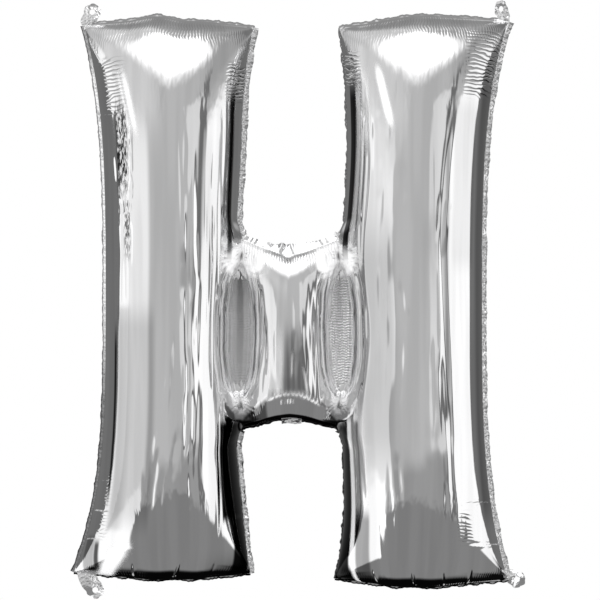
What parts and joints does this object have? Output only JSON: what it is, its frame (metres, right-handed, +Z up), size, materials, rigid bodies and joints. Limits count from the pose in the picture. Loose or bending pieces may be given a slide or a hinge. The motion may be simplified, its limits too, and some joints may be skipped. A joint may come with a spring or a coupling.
{
  "type": "letter foil balloon",
  "caption": "Inflated capital H of mirror-finish foil film with a welded seam margin, lens-shaped welds beside the crossbar, punched hanging tabs and a valve tail.",
  "frame": {"origin": "middle of the letter, in the plane where its two sheets meet, which is where the lift of its gas is taken to act", "axes": "+Z up the letter, -Y out of the front sheet, +X to the right as the front is seen"},
  "size_m": [0.6387, 0.1946, 0.839],
  "materials": {
    "mirror_film": "mirror foil with fine puckers along the seams",
    "welded_film": "crumpled heat-sealed foil",
    "tab_film": "thin crumpled foil"
  },
  "bodies": {
    "root": {"film_front_upright_left": "mirror_film", "film_front_upright_right": "mirror_film", "film_front_crossbar": "mirror_film", "film_back_upright_left": "mirror_film", "film_back_upright_right": "mirror_film", "film_back_crossbar": "mirror_film", "lens_weld_left": "welded_film", "lens_weld_right": "welded_film", "seam_top_left": "welded_film", "seam_top_right": "welded_film", "seam_bottom_left": "welded_film", "seam_bottom_right": "welded_film", "seam_outer_left": "welded_film", "seam_outer_right": "welded_film", "seam_inner_upper_left": "welded_film", "seam_inner_upper_right": "welded_film", "seam_inner_lower_left": "welded_film", "seam_inner_lower_right": "welded_film", "seam_crossbar_top": "welded_film", "seam_crossbar_bottom": "welded_film", "tab_top_left": "tab_film", "tab_top_right": "tab_film", "tab_bottom_left": "tab_film", "tab_bottom_right": "tab_film", "valve_tail": "tab_film"}
  },
  "joints": []
}
